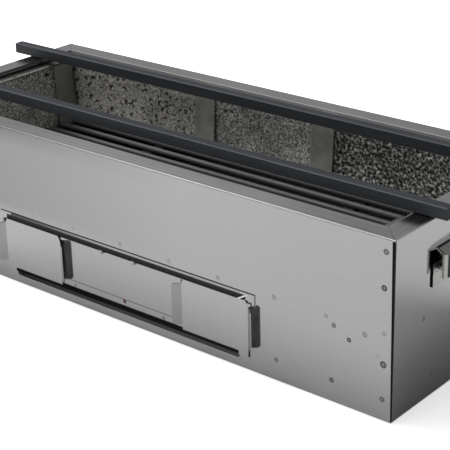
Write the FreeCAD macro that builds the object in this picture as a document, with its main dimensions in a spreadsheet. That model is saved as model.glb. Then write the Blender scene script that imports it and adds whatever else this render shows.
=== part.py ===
import FreeCAD, Part
import os
import Sketcher
from FreeCAD import Placement, Rotation, Vector

# Charcoal box grill in bent stainless sheet, lined with porous stone slabs.
# The origin is the middle of the footprint. X runs along the length, -Y faces the cook, Z is up.

doc = FreeCAD.newDocument("konro")
sizes = doc.addObject("Spreadsheet::Sheet", "sizes")

# Driving sizes in millimetres, one cell each
DRIVING = [
    ("body_length", 600),
    ("body_depth", 242),
    ("body_height", 162),
    ("sheet", 1.0),
    ("bend_radius", 1.2),
    ("rim_width", 20),
    ("rim_lip", 4),
    ("bottom_hem", 8),
    ("mitre_gap", 0.3),
    ("corner_gap", 0.5),
    ("corner_flange", 15),
    ("floor_height", 8.3),
    ("pan_flange", 18),
    ("pan_clearance", 2),
    ("slot_height", 9.4),
    ("slot_corner", 2.5),
    ("window_inset", 13),
    ("window_step", 0.7),
    ("window_drop", 9),
    ("window_corner", 4),
    ("ledge_top", 86),
    ("ledge_leg", 12),
    ("long_ledge_width", 34),
    ("end_ledge_width", 49),
    ("stone_below_rim", 7),
    ("stone_thickness", 25),
    ("stone_end_gap", 4),
    ("stone_joint", 0.4),
    ("stone_middle", 150),
    ("clip_width", 26),
    ("clip_sheet", 1.2),
    ("clip_cover", 18),
    ("clip_stand", 5),
    ("clip_corner_gap", 3.2),
    ("rest_gap", 0.3),
    ("rod_diameter", 6),
    ("rod_count", 10),
    ("grate_end_play", 3.8),
    ("grate_side_play", 2),
    ("cross_bar_width", 12),
    ("cross_bar_thickness", 3),
    ("cross_bar_place", 130),
    ("bar_side", 11),
    ("bar_edge", 1.1),
    ("bar_overhang", 15),
    ("front_bar_shift", 3.5),
    ("back_bar_shift", 7),
    ("front_bar_place", 60.5),
    ("back_bar_place", 63),
    ("door_inner", 77),
    ("door_width", 76),
    ("door_top", 69),
    ("door_corner", 9),
    ("door_gap", 0.3),
    ("door_travel", 55),
    ("door_leg", 11),
    ("door_leg_drop", 4),
    ("tongue_reach", 5),
    ("tongue_play", 0.5),
    ("top_slot_height", 1.9),
    ("top_slot_play", 2),
    ("tab_width", 9),
    ("tab_angle", 39.5),
    ("tab_bottom", 21.5),
    ("tab_height", 40.5),
    ("tab_corner", 3),
    ("rail_cover", 5),
    ("rail_flat", 2.2),
    ("rail_drop", 3.9),
    ("rail_stand", 2.4),
    ("rail_run_out", 7),
    ("rail_ear", 7),
    ("rail_ear_height", 11.4),
    ("stop_width", 3),
    ("stop_height", 3),
    ("stop_reach", 2.4),
    ("handle_half_length", 61),
    ("handle_top", 135.5),
    ("handle_reach", 22),
    ("handle_bow", 14),
    ("handle_slope", 31),
    ("handle_bottom", 109.5),
    ("handle_sheet", 1.5),
    ("ear_outer", 66.5),
    ("ear_inner", 46.5),
    ("ear_top", 123),
    ("ear_bottom", 101.6),
    ("rivet_outer", 60.6),
    ("rivet_inner", 53),
    ("rivet_below_top", 6.5),
    ("rivet_radius", 1.4),
    ("rivet_head_radius", 2.5),
    ("rivet_head_height", 1.2),
]
for row, (name, value) in enumerate(DRIVING, start=1):
    sizes.set(f"A{row}", name)
    sizes.set(f"B{row}", str(value))
    sizes.setAlias(f"B{row}", name)
doc.recompute()

SIDES = {"left": -1, "right": 1}
PARTS = []


# Places that several pieces share, as expressions on the sheet
HALF_LENGTH = "sizes.body_length / 2"
HALF_DEPTH = "sizes.body_depth / 2"
END_INSIDE = "(sizes.body_length / 2 - sizes.sheet)"
LONG_INSIDE = "(sizes.body_depth / 2 - sizes.sheet)"
FLOOR_TOP = "sizes.floor_height"
SLOT_TOP = "(sizes.floor_height + sizes.slot_height)"
DOOR_OUTER = "(sizes.door_inner + sizes.door_width)"
SLOT_HALF = f"({DOOR_OUTER} - sizes.door_leg)"
TOP_SLOT_HALF = f"({DOOR_OUTER} - sizes.door_corner + sizes.top_slot_play)"
WINDOW_BOTTOM = "(sizes.floor_height + sizes.pan_flange + sizes.window_step)"
WINDOW_TOP = "(sizes.door_top - sizes.window_drop)"
STONE_LONG_BACK = "(sizes.body_depth / 2 - 2 * sizes.sheet - sizes.corner_gap - sizes.rest_gap)"
STONE_LONG_FACE = f"({STONE_LONG_BACK} - sizes.stone_thickness)"
STONE_END_FACE = "(sizes.body_length / 2 - sizes.sheet - sizes.stone_end_gap - sizes.stone_thickness)"
STONE_TOP = "(sizes.body_height - sizes.stone_below_rim)"
LEDGE_HALF_LENGTH = "(sizes.body_length / 2 - sizes.sheet - sizes.corner_flange - sizes.rest_gap)"
DOOR_BACK = "(sizes.body_depth / 2 + sizes.door_gap)"
DOOR_FRONT = "(sizes.body_depth / 2 + sizes.door_gap + sizes.sheet)"
TONGUE_INSIDE = "(sizes.body_depth / 2 - sizes.tongue_reach)"
LOWER_TONGUE_TOP = "(sizes.floor_height + sizes.slot_height - sizes.tongue_play)"
UPPER_TONGUE_BOTTOM = "(sizes.door_top - 2 * sizes.sheet)"
TOP_SLOT_BOTTOM = "(sizes.door_top - 2 * sizes.sheet - sizes.rest_gap)"


def size(name):
    return float(sizes.get(name))


def finish(thing, label):
    """Give a finished piece its name."""
    thing.Label = label
    PARTS.append(thing)
    return thing


def bind_place(thing, x="0", y="0", z="0"):
    for axis, expression in zip("xyz", (x, y, z)):
        thing.setExpression(f"Placement.Base.{axis}", expression)


def block(x, y, z, length, width, height, name="block"):
    """A plain box from its lowest corner and its three edges."""
    thing = doc.addObject("Part::Box", name)
    thing.setExpression("Length", length)
    thing.setExpression("Width", width)
    thing.setExpression("Height", height)
    bind_place(thing, x, y, z)
    return thing


def new_body(name):
    return doc.addObject("PartDesign::Body", name)


def pin(sketch, index, across, up):
    """Hold a sketch point at a place that follows the sheet."""
    for kind, expression in (("DistanceX", across), ("DistanceY", up)):
        number = sketch.addConstraint(Sketcher.Constraint(kind, -1, 1, index, 1, 1.0))
        sketch.setExpression(f"Constraints[{number}]", expression)


def draw_outline(sketch, points):
    """A closed outline of straight edges through the pinned points."""
    places = [(sheet_value(across), sheet_value(up)) for across, up in points]
    first = sketch.GeometryCount
    count = len(points)
    for index in range(count):
        start = Vector(*places[index], 0)
        end = Vector(*places[(index + 1) % count], 0)
        sketch.addGeometry(Part.LineSegment(start, end), False)
    for index in range(count):
        following = first + (index + 1) % count
        sketch.addConstraint(Sketcher.Constraint("Coincident", first + index, 2, following, 1))
    for index, (across, up) in enumerate(points):
        pin(sketch, first + index, across, up)


def sheet_value(expression):
    """What an expression on the sheet comes to now."""
    return float(sizes.evalExpression(expression))


def body_sketch(body, plane, points, height="0"):
    """A sketch on one of the body's own planes, moved along the plane's normal."""
    sketch = body.newObject("Sketcher::SketchObject", "outline")
    origin = [face for face in body.Origin.OriginFeatures if face.Role == plane][0]
    sketch.AttachmentSupport = [(origin, "")]
    sketch.MapMode = "FlatFace"
    sketch.setExpression("AttachmentOffset.Base.z", height)
    if points:
        draw_outline(sketch, points)
    return sketch


def pad(body, sketch, length, both_ways=False):
    feature = body.newObject("PartDesign::Pad", "pad")
    feature.Profile = sketch
    feature.Midplane = both_ways
    feature.setExpression("Length", length)
    body.Tip = feature
    return feature


def pocket(body, sketch, length, both_ways=False, flip=False):
    feature = body.newObject("PartDesign::Pocket", "pocket")
    feature.Profile = sketch
    feature.Midplane = both_ways
    feature.Reversed = flip
    feature.setExpression("Length", length)
    body.Tip = feature
    return feature


def round_edges(body, chosen, radius):
    """Round the edges that the test picks from the body's last feature."""
    doc.recompute()
    base = body.Tip
    names = [f"Edge{number}" for number, edge in enumerate(base.Shape.Edges, start=1) if chosen(edge)]
    feature = body.newObject("PartDesign::Fillet", "rounding")
    feature.Base = (base, names)
    feature.setExpression("Radius", radius)
    body.Tip = feature
    return feature


def near(first, second):
    return abs(first - second) < 0.01


def straight_along(edge, axis):
    """True for a straight edge that runs along the given axis."""
    if not isinstance(edge.Curve, Part.Line):
        return False
    run = edge.Vertexes[-1].Point - edge.Vertexes[0].Point
    return near(abs(run.normalize().dot(axis)), 1)


X_AXIS = Vector(1, 0, 0)
Y_AXIS = Vector(0, 1, 0)
Z_AXIS = Vector(0, 0, 1)


# Long casing panels: one bent sheet each, with its rim flange, rim lip and bottom hem
def wall_outline(outside, sign):
    """The bent section of a wall, from its outer face inwards."""
    def depth(inward):
        return f"{sign} * ({outside} - ({inward}))"
    return [
        (depth("0"), "0"),
        (depth("0"), "sizes.body_height"),
        (depth("sizes.rim_width"), "sizes.body_height"),
        (depth("sizes.rim_width"), "sizes.body_height - sizes.rim_lip"),
        (depth("sizes.rim_width - sizes.sheet"), "sizes.body_height - sizes.rim_lip"),
        (depth("sizes.rim_width - sizes.sheet"), "sizes.body_height - sizes.sheet"),
        (depth("sizes.sheet"), "sizes.body_height - sizes.sheet"),
        (depth("sizes.sheet"), "sizes.sheet"),
        (depth("sizes.bottom_hem"), "sizes.sheet"),
        (depth("sizes.bottom_hem"), "0"),
    ]


def cut_long_mitres(body, sign):
    """Trim the rim and the hem of a long panel to the corner's slant."""
    for end in SIDES.values():
        tip = (f"{end} * ({END_INSIDE} - sizes.mitre_gap)", f"{sign} * {LONG_INSIDE}")
        inner = (f"{end} * ({HALF_LENGTH} - 2 * sizes.rim_width - sizes.mitre_gap)",
                 f"{sign} * ({HALF_DEPTH} - 2 * sizes.rim_width)")
        outer = (f"{end} * ({HALF_LENGTH} + sizes.rim_width)", inner[1])
        edge = (outer[0], tip[1])
        outline = body_sketch(body, "XY_Plane", [tip, inner, outer, edge])
        pocket(body, outline, "2 * sizes.body_height + 2 * sizes.sheet", both_ways=True)


def round_top_bend(body, axis, place):
    """Round the outer bend between wall and rim."""
    top = size("body_height")

    def is_bend(edge):
        middle = edge.CenterOfMass
        reach = abs(middle.y) if axis is X_AXIS else abs(middle.x)
        return straight_along(edge, axis) and near(middle.z, top) and near(reach, place)
    round_edges(body, is_bend, "sizes.bend_radius")


def rounded_cut(body, left, right, bottom, top, corner, depth_place, depth, flip=False):
    """Cut a rectangle with rounded corners through a front sheet."""
    outline = body_sketch(body, "XZ_Plane", [(left, bottom), (right, bottom), (right, top), (left, top)],
                          depth_place)
    pocket(body, outline, depth, both_ways=True)
    low, high = sheet_value(left), sheet_value(right)
    floor, ceiling = sheet_value(bottom), sheet_value(top)

    def is_corner(edge):
        middle = edge.CenterOfMass
        across = near(middle.x, low) or near(middle.x, high)
        upright = near(middle.z, floor) or near(middle.z, ceiling)
        return straight_along(edge, Y_AXIS) and across and upright
    if corner:
        round_edges(body, is_corner, corner)


def long_panel(label, sign):
    body = new_body(label)
    outline = body_sketch(body, "YZ_Plane", wall_outline(HALF_DEPTH, sign))
    pad(body, outline, "sizes.body_length", both_ways=True)
    cut_long_mitres(body, sign)
    round_top_bend(body, X_AXIS, size("body_depth") / 2)
    return body


front_panel = long_panel("front_panel", -1)
# The front has a long slot at floor level, two air windows behind the doors and a hidden door slot
WALL_MIDDLE = "(sizes.body_depth / 2 - sizes.sheet / 2)"
WALL_CUT = "3 * sizes.sheet"
rounded_cut(front_panel, f"-{SLOT_HALF}", SLOT_HALF, FLOOR_TOP, SLOT_TOP, "sizes.slot_corner", WALL_MIDDLE,
            WALL_CUT)
for side in SIDES.values():
    near_edge = f"{side} * (sizes.door_inner + sizes.window_inset)"
    far_edge = f"{side} * ({DOOR_OUTER} - sizes.window_inset)"
    rounded_cut(front_panel, near_edge, far_edge, WINDOW_BOTTOM, WINDOW_TOP, "sizes.window_corner",
                WALL_MIDDLE, WALL_CUT)
rounded_cut(front_panel, f"-{TOP_SLOT_HALF}", TOP_SLOT_HALF, TOP_SLOT_BOTTOM,
            f"{TOP_SLOT_BOTTOM} + sizes.top_slot_height", "", WALL_MIDDLE, WALL_CUT)
finish(front_panel, "front_panel")
finish(long_panel("back_panel", 1), "back_panel")


# End casing panels: the same section, with upright flanges tucked behind the long panels
def end_panel(label, side):
    body = new_body(label)
    outline = body_sketch(body, "XZ_Plane", wall_outline(HALF_LENGTH, side))
    pad(body, outline, f"2 * ({LONG_INSIDE} - sizes.corner_gap)", both_ways=True)
    for sign in (-1, 1):
        tip = (f"{side} * {END_INSIDE}", f"{sign} * {LONG_INSIDE}")
        inner = (f"{side} * ({HALF_LENGTH} - 2 * sizes.rim_width)",
                 f"{sign} * ({HALF_DEPTH} - 2 * sizes.rim_width)")
        outer = (inner[0], f"{sign} * ({HALF_DEPTH} + sizes.rim_width)")
        edge = (tip[0], outer[1])
        trim = body_sketch(body, "XY_Plane", [tip, inner, outer, edge])
        pocket(body, trim, "2 * sizes.body_height + 2 * sizes.sheet", both_ways=True)
    for sign in (-1, 1):
        wall = f"{side} * ({HALF_LENGTH} - sizes.sheet / 2)"
        inward = f"{side} * ({END_INSIDE} - sizes.corner_flange)"
        face = f"{sign} * ({LONG_INSIDE} - sizes.corner_gap)"
        back = f"{sign} * ({LONG_INSIDE} - sizes.corner_gap - sizes.sheet)"
        flange = body_sketch(body, "XY_Plane", [(wall, face), (inward, face), (inward, back), (wall, back)],
                             "sizes.sheet + sizes.rest_gap")
        pad(body, flange, f"{STONE_TOP} - 2 * sizes.sheet")
    round_top_bend(body, Y_AXIS, size("body_length") / 2)
    return finish(body, label)


for side_name, side in SIDES.items():
    end_panel(f"{side_name}_panel", side)


# Base pan: a raised floor tray welded inside the casing by its upright flanges
def build_base_pan():
    body = new_body("base_pan")
    half_length = LEDGE_HALF_LENGTH
    half_depth = LONG_INSIDE
    bottom = "(sizes.floor_height - sizes.sheet)"
    rim = "(sizes.floor_height + sizes.pan_flange)"
    section = [
        (f"-{half_depth}", bottom),
        (f"{half_depth}", bottom),
        (f"{half_depth}", rim),
        (f"{half_depth} - sizes.sheet", rim),
        (f"{half_depth} - sizes.sheet", FLOOR_TOP),
        (f"-({half_depth} - sizes.sheet)", FLOOR_TOP),
        (f"-({half_depth} - sizes.sheet)", rim),
        (f"-{half_depth}", rim),
    ]
    pad(body, body_sketch(body, "YZ_Plane", section), f"2 * {half_length}", both_ways=True)
    for side in SIDES.values():
        inner_half = f"({half_depth} - sizes.corner_gap - sizes.sheet - sizes.rest_gap)"
        floor_end = [
            (f"{side} * ({half_length} - sizes.sheet)", f"-{inner_half}"),
            (f"{side} * {END_INSIDE}", f"-{inner_half}"),
            (f"{side} * {END_INSIDE}", inner_half),
            (f"{side} * ({half_length} - sizes.sheet)", inner_half),
        ]
        pad(body, body_sketch(body, "XY_Plane", floor_end, bottom), "sizes.sheet")
        wall_end = [
            (f"{side} * ({END_INSIDE} - sizes.sheet)", f"-{inner_half}"),
            (f"{side} * {END_INSIDE}", f"-{inner_half}"),
            (f"{side} * {END_INSIDE}", inner_half),
            (f"{side} * ({END_INSIDE} - sizes.sheet)", inner_half),
        ]
        pad(body, body_sketch(body, "XY_Plane", wall_end, bottom), "sizes.pan_flange + sizes.sheet")
    slot_end = f"({SLOT_HALF} + sizes.pan_clearance)"
    outline = [
        (f"-{slot_end}", FLOOR_TOP),
        (slot_end, FLOOR_TOP),
        (slot_end, f"{SLOT_TOP} + sizes.pan_clearance / 2"),
        (f"-{slot_end}", f"{SLOT_TOP} + sizes.pan_clearance / 2"),
    ]
    cut = body_sketch(body, "XZ_Plane", outline, f"{half_depth} - sizes.sheet / 2")
    pocket(body, cut, WALL_CUT, both_ways=True)
    finish(body, "base_pan")


build_base_pan()


# Ledges: welded angles that carry the slabs and the ends of the grate
def long_ledge(label, sign):
    body = new_body(label)
    wall = LONG_INSIDE
    section = [
        (f"{sign} * {wall}", "sizes.ledge_top"),
        (f"{sign} * ({wall} - sizes.long_ledge_width)", "sizes.ledge_top"),
        (f"{sign} * ({wall} - sizes.long_ledge_width)", "sizes.ledge_top - sizes.sheet"),
        (f"{sign} * ({wall} - sizes.sheet)", "sizes.ledge_top - sizes.sheet"),
        (f"{sign} * ({wall} - sizes.sheet)", "sizes.ledge_top - sizes.ledge_leg"),
        (f"{sign} * {wall}", "sizes.ledge_top - sizes.ledge_leg"),
    ]
    pad(body, body_sketch(body, "YZ_Plane", section), f"2 * {LEDGE_HALF_LENGTH}", both_ways=True)
    finish(body, label)


def end_ledge(label, side):
    body = new_body(label)
    section = [
        (f"{side} * {END_INSIDE}", "sizes.ledge_top"),
        (f"{side} * ({END_INSIDE} - sizes.end_ledge_width)", "sizes.ledge_top"),
        (f"{side} * ({END_INSIDE} - sizes.end_ledge_width)", "sizes.ledge_top - sizes.sheet"),
        (f"{side} * ({END_INSIDE} - sizes.sheet)", "sizes.ledge_top - sizes.sheet"),
        (f"{side} * ({END_INSIDE} - sizes.sheet)", "sizes.ledge_top - sizes.ledge_leg"),
        (f"{side} * {END_INSIDE}", "sizes.ledge_top - sizes.ledge_leg"),
    ]
    between = f"2 * ({LONG_INSIDE} - sizes.long_ledge_width - sizes.rest_gap)"
    pad(body, body_sketch(body, "XZ_Plane", section), between, both_ways=True)
    finish(body, label)


long_ledge("front_ledge", -1)
long_ledge("back_ledge", 1)
for side_name, side in SIDES.items():
    end_ledge(f"{side_name}_ledge", side)


# Stone slabs: three along each long wall, one between them at each end
def slab(label, x, y, length, width):
    finish(block(x, y, "sizes.ledge_top", length, width, f"{STONE_TOP} - sizes.ledge_top", label), label)


CORNER_SLAB = f"({END_INSIDE} - sizes.sheet - sizes.stone_middle / 2 - sizes.stone_joint)"
for wall_name, wall_y in (("front", f"-{STONE_LONG_BACK}"),
                          ("back", STONE_LONG_FACE)):
    slab(f"{wall_name}_left_slab", f"-({END_INSIDE} - sizes.sheet)", wall_y, CORNER_SLAB,
         "sizes.stone_thickness")
    slab(f"{wall_name}_middle_slab", "-sizes.stone_middle / 2", wall_y, "sizes.stone_middle",
         "sizes.stone_thickness")
    slab(f"{wall_name}_right_slab", "sizes.stone_middle / 2 + sizes.stone_joint", wall_y, CORNER_SLAB,
         "sizes.stone_thickness")
END_SLAB_HALF = f"({STONE_LONG_FACE} - sizes.stone_joint)"
slab("left_slab", f"-({STONE_END_FACE} + sizes.stone_thickness)", f"-{END_SLAB_HALF}",
     "sizes.stone_thickness", f"2 * {END_SLAB_HALF}")
slab("right_slab", STONE_END_FACE, f"-{END_SLAB_HALF}", "sizes.stone_thickness", f"2 * {END_SLAB_HALF}")


# Slab clips: bent strips over the joints, hooked on the slab tops and leaning in at the foot
def clip_outline(face, sign):
    """The bent section of a clip against a slab face, foot first."""
    def inward(distance):
        return f"{sign} * ({face} - ({distance}))"
    foot = "sizes.ledge_top + sizes.rest_gap"
    return [
        (inward("sizes.clip_stand"), foot),
        (inward("sizes.clip_stand + sizes.clip_sheet"), foot),
        (inward("sizes.clip_sheet"), f"{STONE_TOP} + sizes.clip_sheet"),
        (inward("-sizes.clip_cover"), f"{STONE_TOP} + sizes.clip_sheet"),
        (inward("-sizes.clip_cover"), STONE_TOP),
        (inward("0"), STONE_TOP),
    ]


def clip_pair(label, plane, face, sign, middle):
    """Two equal clips, one each side of the wall's middle."""
    copies = []
    for end in (-1, 1):
        body = new_body(f"{label}_strip")
        turned = -1 if plane == "XZ_Plane" else 1
        centre = f"{end * turned} * ({middle})"
        outline = body_sketch(body, plane, clip_outline(face, sign), centre)
        pad(body, outline, "sizes.clip_width", both_ways=True)
        copies.append(body)
    group = doc.addObject("Part::Compound", label)
    group.Links = copies
    finish(group, label)


LONG_CLIP_MIDDLE = "sizes.stone_middle / 2 + sizes.stone_joint / 2"
END_CLIP_MIDDLE = f"{STONE_LONG_FACE} - sizes.clip_corner_gap - sizes.clip_width / 2"
clip_pair("front_clips", "YZ_Plane", STONE_LONG_FACE, -1, LONG_CLIP_MIDDLE)
clip_pair("back_clips", "YZ_Plane", STONE_LONG_FACE, 1, LONG_CLIP_MIDDLE)
for side_name, side in SIDES.items():
    clip_pair(f"{side_name}_clips", "XZ_Plane", STONE_END_FACE, side, END_CLIP_MIDDLE)


# Fire grate: round rods welded on two flat cross bars, lying on the end ledges
def build_grate():
    rod_centre = "(sizes.ledge_top + sizes.rest_gap + sizes.rod_diameter / 2)"
    half_length = f"({STONE_END_FACE} - sizes.clip_stand - sizes.clip_sheet - sizes.grate_end_play)"
    half_span = f"({LONG_INSIDE} - sizes.long_ledge_width - sizes.grate_side_play)"
    outer_rod = f"({half_span} - sizes.rod_diameter / 2)"
    rods = []
    for index in range(int(size("rod_count"))):
        rod = doc.addObject("Part::Cylinder", "rod")
        rod.setExpression("Radius", "sizes.rod_diameter / 2")
        rod.setExpression("Height", f"2 * {half_length}")
        rod.Placement = Placement(Vector(), Rotation(Y_AXIS, 90))
        bind_place(rod, f"-{half_length}", f"(2 * {index} / (sizes.rod_count - 1) - 1) * {outer_rod}",
                   rod_centre)
        rods.append(rod)
    for side in SIDES.values():
        bar = block(f"{side} * sizes.cross_bar_place - sizes.cross_bar_width / 2", f"-{half_span}",
                    "sizes.ledge_top + sizes.rest_gap - sizes.cross_bar_thickness + sizes.rod_diameter / 12",
                    "sizes.cross_bar_width", f"2 * {half_span}", "sizes.cross_bar_thickness", "cross_bar")
        rods.append(bar)
    grate = doc.addObject("Part::MultiFuse", "grate")
    grate.Shapes = rods
    finish(grate, "grate")


build_grate()


# Loose skewer bars: square steel bars that lie across the end rims
def skewer_bar(label, shift, y):
    half_length = f"({HALF_LENGTH} + sizes.bar_overhang)"
    square = block("0", "0", "0", f"2 * {half_length}", "sizes.bar_side", "sizes.bar_side",
                   f"{label}_square")
    bar = doc.addObject("Part::Fillet", label)
    bar.Base = square
    doc.recompute()
    radius = size("bar_edge")
    long_edges = [number for number, edge in enumerate(square.Shape.Edges, start=1)
                  if straight_along(edge, X_AXIS)]
    bar.Edges = [(number, radius, radius) for number in long_edges]
    bind_place(bar, f"-{half_length} - {shift}", f"{y} - sizes.bar_side / 2",
               "sizes.body_height + sizes.rest_gap")
    finish(bar, label)


skewer_bar("front_bar", "sizes.front_bar_shift", "-sizes.front_bar_place")
skewer_bar("back_bar", "sizes.back_bar_shift", "sizes.back_bar_place")


# Draught doors: flat sheets with slanted finger tabs, hung by bent tongues in two slots
def door(label, side):
    body = new_body(label)
    inner = f"{side} * sizes.door_inner"
    outer = f"{side} * {DOOR_OUTER}"
    leg = f"{side} * ({DOOR_OUTER} - sizes.door_leg)"
    foot = f"({LOWER_TONGUE_TOP} - sizes.sheet)"
    toe = f"({foot} - sizes.door_leg_drop)"
    face = [(inner, foot), (leg, foot), (leg, toe), (outer, toe), (outer, "sizes.door_top"),
            (inner, "sizes.door_top")]
    outline = body_sketch(body, "XZ_Plane", face, f"{DOOR_BACK} + sizes.sheet / 2")
    pad(body, outline, "sizes.sheet", both_ways=True)
    top = size("door_top")

    def is_top_corner(edge):
        return straight_along(edge, Y_AXIS) and near(edge.CenterOfMass.z, top)
    round_edges(body, is_top_corner, "sizes.door_corner")
    tongues = (
        ("sizes.door_inner + sizes.sheet", f"{DOOR_OUTER} - sizes.door_leg - 2 * sizes.sheet", foot),
        ("sizes.door_inner + sizes.door_corner", f"{DOOR_OUTER} - sizes.door_corner",
         UPPER_TONGUE_BOTTOM),
    )
    for start, end, height in tongues:
        plan = [(f"{side} * ({start})", f"-({DOOR_BACK} + sizes.sheet / 2)"),
                (f"{side} * ({end})", f"-({DOOR_BACK} + sizes.sheet / 2)"),
                (f"{side} * ({end})", f"-{TONGUE_INSIDE}"),
                (f"{side} * ({start})", f"-{TONGUE_INSIDE}")]
        pad(body, body_sketch(body, "XY_Plane", plan, height), "sizes.sheet")
    for edge_place, outward in ((inner, -side), (outer, side)):
        across = f"{outward} * sizes.tab_width * cos(sizes.tab_angle)"
        forward = "sizes.tab_width * sin(sizes.tab_angle)"
        slip_x = f"{outward} * sizes.sheet * sin(sizes.tab_angle)"
        slip_y = "sizes.sheet * cos(sizes.tab_angle)"
        plan = [
            (edge_place, f"-{DOOR_FRONT}"),
            (f"{edge_place} + {across}", f"-({DOOR_FRONT} + {forward})"),
            (f"{edge_place} + {across} + {slip_x}", f"-({DOOR_FRONT} + {forward} - {slip_y})"),
            (f"{edge_place} + {slip_x}", f"-({DOOR_FRONT} - {slip_y})"),
            (f"{edge_place} - {outward} * sizes.sheet / 2", f"-{DOOR_BACK}"),
            (f"{edge_place} - {outward} * sizes.sheet / 2", f"-{DOOR_FRONT}"),
        ]
        pad(body, body_sketch(body, "XY_Plane", plan, "sizes.tab_bottom"), "sizes.tab_height")
    tip = size("body_depth") / 2 + size("door_gap") + 2 * size("sheet")
    ends = (size("tab_bottom"), size("tab_bottom") + size("tab_height"))

    def is_tab_corner(edge):
        middle = edge.CenterOfMass
        level = near(middle.z, ends[0]) or near(middle.z, ends[1])
        short = edge.Length < 2 * size("sheet")
        return level and short and middle.y < -tip
    round_edges(body, is_tab_corner, "sizes.tab_corner")
    finish(body, label)


for side_name, side in SIDES.items():
    door(f"{side_name}_door", side)


# Door rail: a pressed hood strip over the door tops, with flat end ears and four door stops
RAIL_TOP = "(sizes.door_top + sizes.rail_cover)"
RAIL_BEND = f"({RAIL_TOP} - sizes.rail_flat)"
RAIL_LIP = f"({RAIL_BEND} - sizes.rail_drop)"
RAIL_EAR_START = f"({DOOR_OUTER} + sizes.rest_gap)"
# How far the hood stands out at even steps of its run-out, from full to flat
RUN_OUT = (1, 0.8, 0.35, 0)


def rail_section(name, place, share):
    """One section of the hood, standing proud in the middle and pressed flat at the ends."""
    sketch = doc.addObject("Sketcher::SketchObject", name)
    sketch.Placement = Placement(Vector(), Rotation(Vector(1, 1, 1), 120))
    bind_place(sketch, place)
    stand = f"{share} * sizes.rail_stand"

    def out(distance):
        return f"-(sizes.body_depth / 2 + ({distance}))"
    draw_outline(sketch, [
        (out("0"), RAIL_TOP),
        (out("sizes.sheet"), RAIL_TOP),
        (out("sizes.sheet"), RAIL_BEND),
        (out(f"{stand} + sizes.sheet"), RAIL_LIP),
        (out(stand), RAIL_LIP),
        (out("0"), f"{RAIL_BEND} - sizes.sheet / 4"),
    ])
    return sketch


def build_door_rail():
    steps = len(RUN_OUT) - 1
    places = [(f"({RAIL_EAR_START} - {steps - step} / {steps} * sizes.rail_run_out)", share)
              for step, share in enumerate(RUN_OUT)]
    sections = [rail_section("left_section", f"-{place}", share) for place, share in reversed(places)]
    sections += [rail_section("right_section", place, share) for place, share in places]
    doc.recompute()
    hood = doc.addObject("Part::Loft", "hood")
    hood.Sections = sections
    hood.Solid = True
    hood.Ruled = True
    pieces = [hood]
    face = f"-({HALF_DEPTH} + sizes.sheet)"
    ear_bottom = f"({RAIL_TOP} - sizes.rail_ear_height)"
    for side in SIDES.values():
        ear_left = RAIL_EAR_START if side > 0 else f"-({DOOR_OUTER} + sizes.rail_ear)"
        pieces.append(block(ear_left, face, ear_bottom, "sizes.rail_ear - sizes.rest_gap", "sizes.sheet",
                            "sizes.rail_ear_height", "ear"))
        outer = f"{side} * ({RAIL_EAR_START} + sizes.stop_width / 2) - sizes.stop_width / 2"
        pieces.append(block(outer, f"-({HALF_DEPTH} + sizes.stop_reach)", ear_bottom, "sizes.stop_width",
                            "sizes.stop_reach", "sizes.stop_height", "outer_stop"))
        inner_middle = "(sizes.door_inner - sizes.door_travel - sizes.rest_gap - sizes.stop_width / 2)"
        inner = f"{side} * {inner_middle} - sizes.stop_width / 2"
        pieces.append(block(inner, f"-({HALF_DEPTH} + sizes.rail_stand + sizes.sheet)",
                            f"{RAIL_LIP} - sizes.stop_height", "sizes.stop_width",
                            "sizes.rail_stand + sizes.sheet - sizes.rest_gap",
                            "sizes.stop_height + sizes.sheet / 2", "inner_stop"))
    rail = doc.addObject("Part::MultiFuse", "door_rail")
    rail.Shapes = pieces
    finish(rail, "door_rail")


build_door_rail()


# Carrying handles: a bowed hood of bent sheet over the fingers, between two riveted ears
def hood_form(side, inset, length, bottom):
    """The hood's bowed and sloping outer form, drawn inwards by the inset."""
    top = f"(sizes.handle_top - {inset} / cos(sizes.handle_slope))"
    far = f"{side} * ({HALF_LENGTH} + 2 * sizes.handle_reach)"
    profile = [
        (f"{side} * {HALF_LENGTH}", top),
        (far, f"{top} - 2 * sizes.handle_reach * tan(sizes.handle_slope)"),
        (far, bottom),
        (f"{side} * {HALF_LENGTH}", bottom),
    ]
    slope = new_body("slope")
    pad(slope, body_sketch(slope, "XZ_Plane", profile), length, both_ways=True)
    half = "sizes.handle_half_length"
    radius = f"(({half} * {half} + sizes.handle_bow * sizes.handle_bow) / (2 * sizes.handle_bow))"
    bow = doc.addObject("Part::Cylinder", "bow")
    bow.setExpression("Radius", f"{radius} - {inset}")
    bow.setExpression("Height", "sizes.body_height")
    bind_place(bow, f"{side} * ({HALF_LENGTH} + sizes.handle_reach - {radius})")
    return [slope, bow]


def hood_rooms(side):
    """The three hollows under the hood: one for the fingers and one over each ear."""
    web_outside = "(sizes.ear_inner + sizes.handle_sheet)"
    end_room = f"(sizes.handle_half_length - {web_outside} + sizes.handle_sheet)"
    start = HALF_LENGTH if side > 0 else f"-({HALF_LENGTH} + 2 * sizes.handle_reach)"
    spans = [("-sizes.ear_inner", "2 * sizes.ear_inner"), (web_outside, end_room),
             (f"-({web_outside} + {end_room})", end_room)]
    rooms = doc.addObject("Part::MultiFuse", "rooms")
    rooms.Shapes = [block(start, low, "0", "2 * sizes.handle_reach", width, "sizes.body_height", "room")
                    for low, width in spans]
    return rooms


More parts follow.
